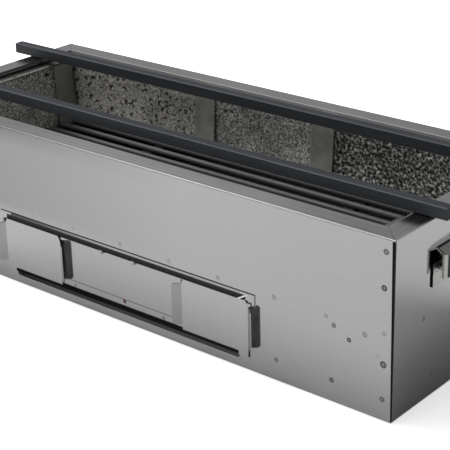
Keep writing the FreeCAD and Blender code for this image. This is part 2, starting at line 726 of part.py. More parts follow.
def handle(label, side):
    full = doc.addObject("Part::MultiCommon", "full")
    full.Shapes = hood_form(side, "0", "2 * sizes.handle_half_length", "sizes.handle_bottom")
    hollow = doc.addObject("Part::MultiCommon", "hollow")
    hollow.Shapes = hood_form(side, "sizes.handle_sheet", "3 * sizes.handle_half_length",
                              "sizes.ear_bottom") + [hood_rooms(side)]
    hood = doc.addObject("Part::Cut", "hood")
    hood.Base = full
    hood.Tool = hollow
    pieces = [hood]
    ear_side = HALF_LENGTH if side > 0 else f"-({HALF_LENGTH} + sizes.handle_sheet)"
    for low in ("sizes.ear_inner", "-sizes.ear_outer"):
        pieces.append(block(ear_side, low, "sizes.ear_bottom", "sizes.handle_sheet",
                            "sizes.ear_outer - sizes.ear_inner", "sizes.ear_top - sizes.ear_bottom", "ear"))
    whole = doc.addObject("Part::MultiFuse", label)
    whole.Shapes = pieces
    finish(whole, label)


def handle_rivets(label, side):
    """Four domed rivet heads, two side by side on each ear."""
    group = []
    for sign in (-1, 1):
        for place in ("sizes.rivet_outer", "sizes.rivet_inner"):
            head = doc.addObject("Part::Cone", "rivet_head")
            head.setExpression("Radius1", "sizes.rivet_head_radius")
            head.setExpression("Radius2", "sizes.rivet_radius")
            head.setExpression("Height", "sizes.rivet_head_height")
            head.Placement = Placement(Vector(), Rotation(Y_AXIS, 90 * side))
            bind_place(head, f"{side} * ({HALF_LENGTH} + sizes.handle_sheet)", f"{sign} * {place}",
                       "sizes.ear_top - sizes.rivet_below_top")
            group.append(head)
    compound = doc.addObject("Part::Compound", label)
    compound.Links = group
    finish(compound, label)


for side_name, side in SIDES.items():
    handle(f"{side_name}_handle", side)
    handle_rivets(f"{side_name}_rivets", side)


# Check every object and every piece, then write one file for each piece
doc.recompute()
failed = [thing.Label for thing in doc.Objects if {"Invalid", "Error"} & set(thing.State)]
if failed:
    raise RuntimeError(f"failed objects: {failed}")
os.makedirs("parts", exist_ok=True)
for piece in PARTS:
    shape = piece.Shape
    if shape.isNull() or not shape.isValid():
        raise RuntimeError(f"bad shape: {piece.Label}")
    shape.exportStep(f"parts/{piece.Label}.step")
    print(f"{piece.Label}: {len(shape.Solids)} solid, {shape.Volume:.0f} mm3")
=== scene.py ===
import math

import bmesh
import bpy
from mathutils import Matrix, Vector, noise


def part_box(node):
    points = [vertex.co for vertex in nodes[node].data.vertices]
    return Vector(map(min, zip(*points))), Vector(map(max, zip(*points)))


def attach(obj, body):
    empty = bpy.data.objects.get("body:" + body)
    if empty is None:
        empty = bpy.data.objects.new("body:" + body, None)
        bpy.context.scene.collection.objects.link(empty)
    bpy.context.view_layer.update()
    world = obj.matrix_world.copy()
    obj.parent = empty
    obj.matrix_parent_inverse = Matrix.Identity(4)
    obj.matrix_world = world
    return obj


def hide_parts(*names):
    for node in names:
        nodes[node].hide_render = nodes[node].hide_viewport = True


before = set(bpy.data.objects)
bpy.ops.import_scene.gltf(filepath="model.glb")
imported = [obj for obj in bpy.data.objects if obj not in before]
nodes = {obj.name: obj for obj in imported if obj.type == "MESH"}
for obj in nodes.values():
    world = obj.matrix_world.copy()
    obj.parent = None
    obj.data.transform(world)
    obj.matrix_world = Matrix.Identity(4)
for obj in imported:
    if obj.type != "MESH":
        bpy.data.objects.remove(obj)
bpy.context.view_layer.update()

scene = bpy.context.scene
MM = 0.001

# The camera stands to the right of the cook, a little above the grill, and looks along its length.
# Its place and turn come from the corners of the casing in the photograph, at 450 by 450 pixels.
CAMERA_PLACE = Vector((853.77, -972.94, 610.38)) * MM
CAMERA_AZIMUTH = math.radians(40.40)
CAMERA_ELEVATION = math.radians(23.19)
CAMERA_ROLL = math.radians(-1.384)
CAMERA_LENS_MM = 115.0
CAMERA_SENSOR_MM = 36.0

back = Vector((
    math.sin(CAMERA_AZIMUTH) * math.cos(CAMERA_ELEVATION),
    -math.cos(CAMERA_AZIMUTH) * math.cos(CAMERA_ELEVATION),
    math.sin(CAMERA_ELEVATION),
))
across = Vector((math.cos(CAMERA_AZIMUTH), math.sin(CAMERA_AZIMUTH), 0.0))
upward = back.cross(across)
right = across * math.cos(CAMERA_ROLL) + upward * math.sin(CAMERA_ROLL)
upward = back.cross(right)
camera_data = bpy.data.cameras.new("camera")
camera_data.lens = CAMERA_LENS_MM
camera_data.sensor_width = CAMERA_SENSOR_MM
camera_data.clip_start = 0.05
camera_data.clip_end = 50.0
camera = bpy.data.objects.new("camera", camera_data)
camera.matrix_world = (Matrix.Translation(CAMERA_PLACE)
                       @ Matrix((right, upward, back)).transposed().to_4x4())
scene.collection.objects.link(camera)
scene.camera = camera


# The table top: a wide pale sweep, matt, that the bright sheet metal mirrors. Away from the grill
# it is lit from behind, as a studio sweep is, so it stays white to its far edge.
def make_material(name):
    """A new material with its node tree and its principled shader."""
    material = bpy.data.materials.new(name)
    material.use_nodes = True
    tree = material.node_tree
    return material, tree, tree.nodes["Principled BSDF"]


def dress(obj, material):
    obj.data.materials.clear()
    obj.data.materials.append(material)


def finish_mesh(shape, name, material):
    """Turn a bmesh into an object that wears a material."""
    mesh = bpy.data.meshes.new(name)
    shape.to_mesh(mesh)
    shape.free()
    obj = bpy.data.objects.new(name, mesh)
    scene.collection.objects.link(obj)
    dress(obj, material)
    return obj


def feed(tree, socket, value):
    """Give a socket a plain value, or the output of another node."""
    if isinstance(value, bpy.types.NodeSocket):
        tree.links.new(value, socket)
    else:
        socket.default_value = value


def calculate(tree, operation, *values):
    """One step of arithmetic; each value is a plain number or a socket."""
    node = tree.nodes.new("ShaderNodeMath")
    node.operation = operation
    for socket, value in zip(node.inputs, values):
        feed(tree, socket, value)
    return node.outputs["Value"]


def fade(tree, value, low, high, start=0.0, end=1.0, smooth=False):
    """Go from start to end as the value goes from low to high, and stay there past both."""
    node = tree.nodes.new("ShaderNodeMapRange")
    if smooth:
        node.interpolation_type = "SMOOTHSTEP"
    for label, number in (("Value", value), ("From Min", low), ("From Max", high),
                          ("To Min", start), ("To Max", end)):
        feed(tree, node.inputs[label], number)
    return node.outputs["Result"]


def object_place(tree):
    """Where a point lies on the grill, in metres."""
    return tree.nodes.new("ShaderNodeTexCoord").outputs["Object"]


FLOOR_HALF = 40.0
FLOOR_DROP = 0.6 * MM
FLOOR_GREY = 0.88
FLOOR_GLOW = 0.75
CAMERA_LIFT = 0.75
GLOW_START = 0.75
GLOW_FULL = 1.7
floor_paint, tree, shader = make_material("pale_floor")
shader.inputs["Base Color"].default_value = (FLOOR_GREY, FLOOR_GREY, FLOOR_GREY, 1.0)
shader.inputs["Roughness"].default_value = 0.9
shader.inputs["Specular IOR Level"].default_value = 0.1
shader.inputs["Emission Strength"].default_value = FLOOR_GLOW
floor_reach = tree.nodes.new("ShaderNodeVectorMath")
floor_reach.operation = "LENGTH"
tree.links.new(object_place(tree), floor_reach.inputs[0])
far_glow = fade(tree, floor_reach.outputs["Value"], GLOW_START, GLOW_FULL, smooth=True)
seen_direct = tree.nodes.new("ShaderNodeLightPath").outputs["Is Camera Ray"]
seen_lift = calculate(tree, "MULTIPLY", seen_direct, CAMERA_LIFT)
tree.links.new(calculate(tree, "MAXIMUM", seen_lift, far_glow), shader.inputs["Emission Color"])
shape = bmesh.new()
bmesh.ops.create_grid(shape, x_segments=1, y_segments=1, size=FLOOR_HALF,
                      matrix=Matrix.Translation((0.0, 0.0, -FLOOR_DROP)))
floor = finish_mesh(shape, "floor", floor_paint)


# The studio: a dim room, lighter behind the grill than behind the cook, with one large soft panel
# high on the left that the rounded edges mirror, and lamps beside it that cast the shadows.
def parts_of(tree, vector):
    """The X, Y and Z of a vector, as sockets."""
    shares = tree.nodes.new("ShaderNodeSeparateXYZ")
    tree.links.new(vector, shares.inputs[0])
    return shares.outputs


ROOM_FRONT, ROOM_DIM = -0.55, 0.10
ROOM_BACK, ROOM_LIGHT = 0.75, 0.52
PANEL_DIRECTION = Vector((-0.60, -0.15, 0.78)).normalized()
PANEL_EDGE, PANEL_FULL = 0.87, 0.93
PANEL_STRENGTH = 2.4
world = bpy.data.worlds.new("studio")
world.use_nodes = True
tree = world.node_tree
sky_place = object_place(tree)
room = fade(tree, parts_of(tree, sky_place)["Y"], ROOM_FRONT, ROOM_BACK, ROOM_DIM, ROOM_LIGHT,
            smooth=True)
panel_angle = tree.nodes.new("ShaderNodeVectorMath")
panel_angle.operation = "DOT_PRODUCT"
panel_angle.inputs[1].default_value = PANEL_DIRECTION
tree.links.new(sky_place, panel_angle.inputs[0])
panel = fade(tree, panel_angle.outputs["Value"], PANEL_EDGE, PANEL_FULL, 0.0, PANEL_STRENGTH,
             smooth=True)
tree.links.new(calculate(tree, "ADD", room, panel), tree.nodes["Background"].inputs["Color"])
scene.world = world

LAMP_TARGET = Vector((0.0, 0.0, 0.1))


def soft_light(name, place, width, height, watts):
    """An area lamp that lights the grill but isn't mirrored in it."""
    light_data = bpy.data.lights.new(name, "AREA")
    light_data.shape = "RECTANGLE"
    light_data.size = width
    light_data.size_y = height
    light_data.energy = watts
    light = bpy.data.objects.new(name, light_data)
    light.location = place
    light.rotation_euler = (Vector(place) - LAMP_TARGET).to_track_quat("Z", "Y").to_euler()
    light.visible_glossy = False
    scene.collection.objects.link(light)


soft_light("key_light", place=(-2.1, 0.55, 2.3), width=1.6, height=1.4, watts=66.0)
soft_light("fill_light", place=(-0.2, -1.9, 2.3), width=1.6, height=1.6, watts=17.0)
scene.view_settings.view_transform = "Standard"


# Stainless sheet: cold-rolled, bright, with faint rolling lines along the sheet. The grain group
# gives every steel its streaks, and each steel sets its own scale and strength.
def new_group(name, inputs, outputs):
    group = bpy.data.node_groups.new(name, "ShaderNodeTree")
    for label, kind, value in inputs:
        socket = group.interface.new_socket(label, in_out="INPUT", socket_type=kind)
        socket.default_value = value
    for label, kind in outputs:
        group.interface.new_socket(label, in_out="OUTPUT", socket_type=kind)
    return (group, group.nodes.new("NodeGroupInput").outputs,
            group.nodes.new("NodeGroupOutput").inputs)


def mottling(tree, place, scale, detail, roughness=0.5):
    """An uneven field of a noise texture, from 0 to 1."""
    field = tree.nodes.new("ShaderNodeTexNoise")
    field.inputs["Scale"].default_value = scale
    field.inputs["Detail"].default_value = detail
    field.inputs["Roughness"].default_value = roughness
    tree.links.new(place, field.inputs["Vector"])
    return field.outputs["Fac"]


LINE_SHARE, CLOUD_SHARE = 0.6, 0.4
GRAIN_LOW, GRAIN_HIGH = 0.3, 0.7
TONE_LOW, TONE_HIGH = 0.975, 1.015
GRAIN_RELIEF = 0.05 * MM
grain_group, grain_in, grain_out = new_group(
    "rolling_grain",
    [("Stretch", "NodeSocketVector", (1.0, 1.0, 1.0)), ("Low", "NodeSocketFloat", 0.1),
     ("High", "NodeSocketFloat", 0.3), ("Bump", "NodeSocketFloat", 0.1)],
    [("Roughness", "NodeSocketFloat"), ("Normal", "NodeSocketVector"), ("Tone", "NodeSocketFloat")],
)
grain_place = object_place(grain_group)
grain_map = grain_group.nodes.new("ShaderNodeMapping")
grain_group.links.new(grain_place, grain_map.inputs["Vector"])
grain_group.links.new(grain_in["Stretch"], grain_map.inputs["Scale"])
grain_lines = mottling(grain_group, grain_map.outputs["Vector"], scale=1.0, detail=6.0)
grain_cloud = mottling(grain_group, grain_place, scale=11.0, detail=3.0)
grain_both = calculate(grain_group, "MULTIPLY_ADD", grain_lines, LINE_SHARE,
                       calculate(grain_group, "MULTIPLY", grain_cloud, CLOUD_SHARE))
grain_bump = grain_group.nodes.new("ShaderNodeBump")
grain_bump.inputs["Distance"].default_value = GRAIN_RELIEF
grain_group.links.new(grain_lines, grain_bump.inputs["Height"])
grain_group.links.new(grain_in["Bump"], grain_bump.inputs["Strength"])
for label, result in (
    ("Roughness", fade(grain_group, grain_both, GRAIN_LOW, GRAIN_HIGH,
                       grain_in["Low"], grain_in["High"])),
    ("Normal", grain_bump.outputs["Normal"]),
    ("Tone", fade(grain_group, grain_both, GRAIN_LOW, GRAIN_HIGH, TONE_LOW, TONE_HIGH)),
):
    grain_group.links.new(result, grain_out[label])

# The band group masks a stripe across a coordinate.
band_group, band_in, band_out = new_group(
    "band",
    [("Value", "NodeSocketFloat", 0.0), ("Centre", "NodeSocketFloat", 0.0),
     ("Half Width", "NodeSocketFloat", 0.001), ("Soft", "NodeSocketFloat", 0.0005)],
    [("Mask", "NodeSocketFloat")],
)
band_offset = calculate(band_group, "SUBTRACT", band_in["Value"], band_in["Centre"])
band_edge = calculate(band_group, "ADD", band_in["Half Width"], band_in["Soft"])
band_fade = fade(band_group, calculate(band_group, "ABSOLUTE", band_offset),
                 band_in["Half Width"], band_edge, start=1.0, end=0.0)
band_group.links.new(band_fade, band_out["Mask"])


def band(tree, value, centre, half_width, soft):
    """A mask that is full within half a width of the centre and fades over its soft edge."""
    mask = tree.nodes.new("ShaderNodeGroup")
    mask.node_tree = band_group
    for label, number in (("Value", value), ("Centre", centre), ("Half Width", half_width),
                          ("Soft", soft)):
        feed(tree, mask.inputs[label], number)
    return mask.outputs["Mask"]


def overlap(tree, mask, *others):
    """Where all the masks hold: their product. One of them may be a plain number."""
    for other in others:
        mask = calculate(tree, "MULTIPLY", mask, other)
    return mask


def grey(shade):
    return (shade, shade, shade)


# The mix node's colour sockets, by number: they share their names with those for plain values.
MIX_UNDER, MIX_OVER, MIX_RESULT = 6, 7, 2


def mix_colour(tree, mask, under, over):
    """Lay one colour over another by a mask; a colour is a socket or three numbers."""
    mix = tree.nodes.new("ShaderNodeMix")
    mix.data_type = "RGBA"
    tree.links.new(mask, mix.inputs["Factor"])
    for index, colour in ((MIX_UNDER, under), (MIX_OVER, over)):
        whole = (*colour, 1.0) if isinstance(colour, tuple) else colour
        feed(tree, mix.inputs[index], whole)
    return mix.outputs[MIX_RESULT]


def mix_value(tree, mask, under, over):
    mix = tree.nodes.new("ShaderNodeMix")
    tree.links.new(mask, mix.inputs["Factor"])
    feed(tree, mix.inputs["A"], under)
    feed(tree, mix.inputs["B"], over)
    return mix.outputs["Result"]


def scale_colour(tree, colour, factor):
    node = tree.nodes.new("ShaderNodeVectorMath")
    node.operation = "SCALE"
    feed(tree, node.inputs[0], colour)
    feed(tree, node.inputs["Scale"], factor)
    return node.outputs["Vector"]


def steel(name, tint, stretch, smoothest, roughest, relief, metallic=1.0):
    """A bare steel with streaks along the axis whose stretch is smallest, and what it is made of:
    its tree, its shader, its colour, its grain and the X, Y and Z of a point on it."""
    material, tree, shader = make_material(name)
    shader.inputs["Metallic"].default_value = metallic
    grain = tree.nodes.new("ShaderNodeGroup")
    grain.node_tree = grain_group
    for label, value in (("Stretch", stretch), ("Low", smoothest), ("High", roughest),
                         ("Bump", relief)):
        grain.inputs[label].default_value = value
    colour = scale_colour(tree, tint, grain.outputs["Tone"])
    tree.links.new(colour, shader.inputs["Base Color"])
    tree.links.new(grain.outputs["Roughness"], shader.inputs["Roughness"])
    tree.links.new(grain.outputs["Normal"], shader.inputs["Normal"])
    return material, tree, shader, colour, grain.outputs, parts_of(tree, object_place(tree))


# Long casing panels: 1 mm sheet with the rim, its lip and the bottom hem bent on, spot-welded to
# the end panels. Between the doors the front has a faint line painted above the ash slot, as the
# shade of a pressed line. The front is painted darker towards the left, most of all under the rim,
# as shade for its dimmer reflection, and the middle of its rim is painted lighter, as a highlight.
RIM_HEIGHT = 162.5 * MM
RIM_HALF = 4.7 * MM
RIM_SOFT = 0.1 * MM
RIM_ROUGHNESS = 0.2
RIM_DARK, RIM_LIGHT = 0.50, 0.90
BEND_HALF = 2.0 * MM
BEND_PAST_RIM = 1.4 * MM
BEND_WIDTH = 1.0 * MM
BEND_SOFT = 0.4 * MM
BEND_ROUGHNESS = 0.36
LIP_HALF = 1.3 * MM
LIP_SOFT = 0.2 * MM
LIP_METAL = 0.25


def brush_rims(tree, shader, colour, grain, parts, side, reach, lip_place, lip_highlight):
    """The flat of the rim and its lip are brushed coarser than the walls; the rim's colour is
    darkened along its brushed streaks as painted shade, and the lip is painted a plain grey as a
    highlight. The rim goes out to its reach from the middle, where it bends down into the wall."""
    from_middle = calculate(tree, "ABSOLUTE", parts[side])
    rim = overlap(tree, band(tree, parts["Z"], RIM_HEIGHT, RIM_HALF, RIM_SOFT),
                  band(tree, from_middle, 0.0, reach, BEND_SOFT))
    # Painted shade: the rim's colour is darkened along the brushed streaks.
    streaks_and_shade = fade(tree, grain["Tone"], TONE_LOW, TONE_HIGH, RIM_DARK, RIM_LIGHT)
    bend = overlap(tree, band(tree, parts["Z"], RIM_HEIGHT, BEND_HALF, BEND_SOFT),
                   band(tree, from_middle, reach + BEND_PAST_RIM, BEND_WIDTH, BEND_SOFT))
    rough = mix_value(tree, rim, grain["Roughness"], RIM_ROUGHNESS)
    tree.links.new(mix_value(tree, bend, rough, BEND_ROUGHNESS), shader.inputs["Roughness"])
    # Painted highlight: the lip is painted a plain, less metallic grey to show its bright bend.
    lip = overlap(tree, rim, band(tree, parts[side], lip_place, LIP_HALF, LIP_SOFT))
    tree.links.new(mix_value(tree, lip, 1.0, LIP_METAL), shader.inputs["Metallic"])
    colour = mix_colour(tree, rim, colour, scale_colour(tree, colour, streaks_and_shade))
    return mix_colour(tree, lip, colour, grey(lip_highlight))


WALL_HEIGHT = 160.0 * MM
SEAM_MIDDLE = 80.0 * MM
SEAM_HALF = 80.6 * MM
SEAM_SOFT = 0.3 * MM


def corner_seam_shade(tree, parts, side, foot, top):
    """A mask past a line up the wall that leans from its foot to its top: where the shade of a
    corner seam is painted.
    """
    line = fade(tree, parts["Z"], 0.0, WALL_HEIGHT, foot, top)
    past = calculate(tree, "GREATER_THAN", calculate(tree, "ABSOLUTE", parts[side]), line)
    return overlap(tree, past, band(tree, parts["Z"], SEAM_MIDDLE, SEAM_HALF, SEAM_SOFT))


HALF_DEPTH = 121.0 * MM
SHEET_TINT = (0.400, 0.400, 0.398)
BLACK = grey(0.0)
PRESSED_SHARE = 0.8
SHADE_SHARE, SHADE_SHARE_UNDER_RIM = 0.27, 0.50
RIM_HIGHLIGHT_LIFT = 1.45
sheet_steel, tree, shader, colour, grain, parts = steel(
    "casing_sheet", SHEET_TINT, stretch=(6.0, 420.0, 420.0),
    smoothest=0.07, roughest=0.13, relief=0.02)
colour = brush_rims(tree, shader, colour, grain, parts, "Y",
                    reach=119.4 * MM, lip_place=100.8 * MM, lip_highlight=0.44)
# Painted shade: the corner seam is painted nearly black, widest under the rim.
seam_shade = corner_seam_shade(tree, parts, "X", foot=299.4 * MM, top=297.5 * MM)
colour = mix_colour(tree, seam_shade, colour, grey(0.008))
# Painted shade: a faint dark line, as the shade of a pressed line.
pressed_line_shade = overlap(tree, band(tree, parts["Z"], 24.1 * MM, 0.2 * MM, 0.4 * MM),
                  band(tree, parts["X"], 0.0, 69.0 * MM, 0.5 * MM),
                  band(tree, parts["Y"], -HALF_DEPTH, 0.2 * MM, 0.1 * MM), PRESSED_SHARE)
colour = mix_colour(tree, pressed_line_shade, colour, grey(0.06))
# Painted shade: the front is darkened towards the left, most of all under the rim.
left_shade = fade(tree, parts["X"], -150.0 * MM, 80.0 * MM, start=1.0, end=0.0)
shade_share = fade(tree, parts["Z"], 145.0 * MM, 161.0 * MM, SHADE_SHARE, SHADE_SHARE_UNDER_RIM)
front_wall = overlap(tree, band(tree, parts["Y"], -121.2 * MM, 1.2 * MM, 0.4 * MM),
                     band(tree, parts["Z"], 164.0 * MM, 80.0 * MM, 16.0 * MM))
colour = mix_colour(tree, overlap(tree, left_shade, shade_share, front_wall), colour, BLACK)
# Painted highlight: the middle of the front rim is painted lighter.
rim_middle_highlight = overlap(tree, band(tree, parts["Y"], -111.2 * MM, 8.8 * MM, 0.6 * MM),
                     band(tree, parts["Z"], RIM_HEIGHT, RIM_HALF, RIM_SOFT),
                     band(tree, parts["X"], 35.0 * MM, 100.0 * MM, 130.0 * MM))
tree.links.new(mix_colour(tree, rim_middle_highlight, colour, scale_colour(tree, colour, RIM_HIGHLIGHT_LIFT)),
               shader.inputs["Base Color"])
for name in ("front_panel", "back_panel"):
    dress(nodes[name], sheet_steel)

# End casing panels: the same sheet, set between the long ones. At each corner the seam is painted
# nearly black as the shade in its gap, widest under the rim, and the foot of the end is painted
# darker, as shade.
end_steel, tree, shader, colour, grain, parts = steel(
    "end_sheet", SHEET_TINT, stretch=(420.0, 6.0, 420.0),
    smoothest=0.07, roughest=0.13, relief=0.02)
colour = brush_rims(tree, shader, colour, grain, parts, "X",
                    reach=298.4 * MM, lip_place=279.8 * MM, lip_highlight=0.16)
seam_shade = corner_seam_shade(tree, parts, "Y", foot=119.6 * MM, top=119.2 * MM)
colour = mix_colour(tree, seam_shade, colour, grey(0.012))
# Painted shade: the end is darkened towards its foot.
foot_shade = fade(tree, parts["Z"], 4.0 * MM, 56.0 * MM, start=0.36, end=0.0)
tree.links.new(mix_colour(tree, foot_shade, colour, BLACK), shader.inputs["Base Color"])
for name in ("left_panel", "right_panel"):
    dress(nodes[name], end_steel)


# Draught doors: two small doors of the same bright sheet, with the rolling lines upright. Each has
# a slanted finger tab bent out at both sides and slides on tongues that reach through the front.
# The tabs are painted a shade darker and the side edges nearly black, as painted shade on the faces
# that turn sideways.
def facing(tree):
    """How much of a face's direction is along X, Y and Z."""
    return parts_of(tree, tree.nodes.new("ShaderNodeNewGeometry").outputs["True Normal"])


door_steel, tree, shader, colour, grain, parts = steel(
    "door_sheet", (0.415, 0.415, 0.412), stretch=(300.0, 300.0, 8.0),
    smoothest=0.07, roughest=0.12, relief=0.02)
# Painted shade: faces turned sideways, the tabs and the side edges, are painted darker.
turned_sideways = calculate(tree, "ABSOLUTE", facing(tree)["X"])
tab_shade = band(tree, turned_sideways, centre=0.65, half_width=0.20, soft=0.10)
colour = mix_colour(tree, tab_shade, colour, (0.295, 0.295, 0.293))
dark_edge = band(tree, turned_sideways, centre=1.0, half_width=0.03, soft=0.02)
tree.links.new(mix_colour(tree, dark_edge, colour, grey(0.03)), shader.inputs["Base Color"])
for name in ("left_door", "right_door"):
    dress(nodes[name], door_steel)

# Door hood: a narrow strip of the same sheet, pressed out over the door tops and run out into a
# flat ear at each end, where it is held to the front. The strip is painted darker towards the left
# and its slanted face darker towards the lip, as painted shade, and its right run-out is painted
# nearly white, as a glint.
HOOD_SHADE_FROM, HOOD_SHADE_TO = -130.0 * MM, 5.0 * MM
HOOD_SHADE_MOST, HOOD_SHADE_LEAST = 0.88, 0.16
RUN_OUT_LEAN = 1.8
hood_steel, tree, shader, colour, grain, parts = steel(
    "hood_sheet", SHEET_TINT, stretch=(6.0, 420.0, 420.0),
    smoothest=0.08, roughest=0.16, relief=0.03)
hood_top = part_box("door_rail")[1].z
hood_bend = hood_top - 2.2 * MM
hood_lip = hood_top - 6.1 * MM
# Painted shade: the hood is darkened towards the left.
hood_shade_left = fade(tree, parts["X"], HOOD_SHADE_FROM, HOOD_SHADE_TO, HOOD_SHADE_MOST, HOOD_SHADE_LEAST, smooth=True)
between_ears = band(tree, parts["X"], 0.0, 143.5 * MM, 2.0 * MM)
colour = mix_colour(tree, overlap(tree, hood_shade_left, between_ears), colour, (0.045, 0.046, 0.048))
# Painted shade: the slanted face is darkened towards the lip.
slanted = band(tree, facing(tree)["Z"], centre=0.50, half_width=0.22, soft=0.06)
up_slant = fade(tree, parts["Z"], hood_lip, hood_bend)
slant_shade_colour = mix_colour(tree, up_slant, grey(0.11), (0.36, 0.365, 0.37))
colour = mix_colour(tree, slanted, colour, slant_shade_colour)
# Painted highlight: the right run-out is painted plain near-white, as a glint.
leaning = calculate(tree, "MULTIPLY_ADD", parts["Z"], -RUN_OUT_LEAN, parts["X"])
run_out_glint = overlap(
    tree, band(tree, leaning, 144.1 * MM - RUN_OUT_LEAN * hood_lip, 1.0 * MM, 0.8 * MM),
    band(tree, parts["Z"], (hood_bend + hood_lip) / 2, (hood_bend - hood_lip) / 2, 0.3 * MM))
tree.links.new(mix_colour(tree, run_out_glint, colour, grey(0.92)), shader.inputs["Base Color"])
tree.links.new(mix_value(tree, run_out_glint, 1.0, 0.0), shader.inputs["Metallic"])
dress(nodes["door_rail"], hood_steel)


# Spot welds: each joint of the sheets shows as a small round crater with a brown heat ring.
# They stand a tenth of a millimetre on the casing, and the old ones are polished nearly away.
HALF_LENGTH = 300.0 * MM
WELD_RADIUS = 2.4 * MM
WELD_RISE = 0.12 * MM
WELD_SIDES = 18
# The crater's crown and the dish inside it, as shares of its radius and of its rise, and how much
# of the mark's heat its foot and its dish have.
WELD_CROWN, DISH_INSET, DISH_SINK = 0.68, 0.34, 0.6
FOOT_HEAT, DISH_HEAT = 0.4, 0.5
RUSTY_FROM, RUSTY_FULL = 1.05, 1.15
weld_steel, tree, shader, colour, grain, parts = steel(
    "weld_tint", SHEET_TINT, stretch=(120.0, 120.0, 120.0),
    smoothest=0.12, roughest=0.25, relief=0.1)
burn = tree.nodes.new("ShaderNodeAttribute")
burn.attribute_name = "burn"
rusty = fade(tree, burn.outputs["Fac"], RUSTY_FROM, RUSTY_FULL)
burnt_colour = mix_colour(tree, rusty, (0.030, 0.017, 0.013), (0.26, 0.045, 0.045))
burnt = calculate(tree, "MINIMUM", burn.outputs["Fac"], 1.0)
tree.links.new(mix_colour(tree, burnt, colour, burnt_colour), shader.inputs["Base Color"])
tree.links.new(mix_value(tree, burnt, grain["Roughness"], 0.5), shader.inputs["Roughness"])


def weld_marks(name, outward, distance, marks):
    """Craters on a wall, at a distance from the grill's middle in the outward direction."""
    up = Vector((0.0, 0.0, 1.0))
    along = up.cross(outward)
    turn = up.rotation_difference(outward).to_matrix().to_4x4()
    shape = bmesh.new()
    burns = shape.verts.layers.float.new("burn")
    for mark_along, mark_up, size, heat in marks:
        place = outward * distance + along * (mark_along * MM) + up * (mark_up * MM)
        radius = WELD_RADIUS * size
        made = bmesh.ops.create_cone(
            shape, cap_ends=True, segments=WELD_SIDES, radius1=radius,
            radius2=radius * WELD_CROWN, depth=WELD_RISE,
            matrix=Matrix.Translation(place + outward * WELD_RISE / 2) @ turn)
        for vertex in made["verts"]:
            raised = (vertex.co - place).dot(outward) > WELD_RISE / 2
            vertex[burns] = heat if raised else heat * FOOT_HEAT
        caps = {face for vertex in made["verts"] for face in vertex.link_faces
                if len(face.verts) == WELD_SIDES}
        top = max(caps, key=lambda face: face.calc_center_median().dot(outward))
        bmesh.ops.delete(shape, geom=list(caps - {top}), context="FACES_ONLY")
        bmesh.ops.inset_individual(shape, faces=[top], thickness=radius * DISH_INSET,
                                   depth=-WELD_RISE * DISH_SINK)
        for vertex in top.verts:
            vertex[burns] = heat * DISH_HEAT
    for face in shape.faces:
        face.smooth = True
    bmesh.ops.recalc_face_normals(shape, faces=shape.faces)
    piece = finish_mesh(shape, name, weld_steel)
    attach(piece, "casing")


# Where each weld is, in millimetres along and up the wall, with its size and its heat. The back
# has those of the front, mirrored, without the ones at the middle and round the doors.
FRONT_WELDS = (
    (-113.6, 79.1, 0.9, 0.30), (-58.5, 79.0, 0.9, 0.30), (1.8, 79.0, 1.0, 0.34),
    (62.1, 79.3, 0.95, 0.32), (119.1, 79.2, 1.0, 0.34), (180.8, 78.6, 1.1, 0.38),
    (234.8, 77.8, 1.0, 0.34), (242.6, 71.4, 0.95, 0.8), (257.9, 62.8, 0.95, 1.0),
    (273.2, 72.5, 1.1, 0.45), (291.9, 150.5, 1.15, 0.85), (290.9, 119.1, 1.2, 1.0),
    (291.7, 79.2, 1.0, 0.30), (285.9, 57.1, 0.5, 0.30), (291.5, 51.2, 1.4, 0.9),
    (291.1, 19.2, 1.1, 0.8), (240.8, 19.9, 1.05, 0.9), (182.6, 19.6, 1.0, 0.7),
    (52.9, 19.6, 0.7, 0.7), (-60.5, 19.9, 0.7, 0.6), (4.2, 22.0, 0.9, 1.3),
    (-180.4, 78.9, 0.9, 0.18), (-239.6, 79.2, 0.9, 0.2), (-291.6, 149.8, 1.1, 0.6),
    (-291.2, 120.2, 1.1, 0.7), (-291.5, 79.4, 1.0, 0.25), (-291.3, 50.6, 1.2, 0.6),
    (-291.0, 19.5, 1.1, 0.5), (-181.2, 19.6, 0.9, 0.32), (-240.5, 19.7, 0.9, 0.42),
)
NEAR_DOORS, NEAR_MIDDLE = 180, 60
MIDDLE_ROW, ROW_HALF = 79.0, 2
BACK_WELDS = [
    (along, up, size, heat) for along, up, size, heat in FRONT_WELDS
    if abs(along) > NEAR_DOORS or abs(along) > NEAR_MIDDLE and abs(up - MIDDLE_ROW) < ROW_HALF]
END_WELDS = (
    (-76.0, 77.4, 1.1, 0.6), (-61.5, 20.3, 1.1, 0.55), (0.5, 78.8, 0.9, 0.18),
    (62.0, 79.3, 0.9, 0.2), (1.2, 19.8, 0.9, 0.3), (60.4, 20.1, 0.9, 0.25),
    (-108.8, 20.5, 0.8, 0.2), (108.9, 20.2, 0.8, 0.25),
)
for name, outward, distance, marks in (
    ("front_welds", Vector((0.0, -1.0, 0.0)), HALF_DEPTH, FRONT_WELDS),
    ("back_welds", Vector((0.0, 1.0, 0.0)), HALF_DEPTH, BACK_WELDS),
    ("right_welds", Vector((1.0, 0.0, 0.0)), HALF_LENGTH, END_WELDS),
    ("left_welds", Vector((-1.0, 0.0, 0.0)), HALF_LENGTH, END_WELDS),
):
    weld_marks(name, outward, distance, marks)


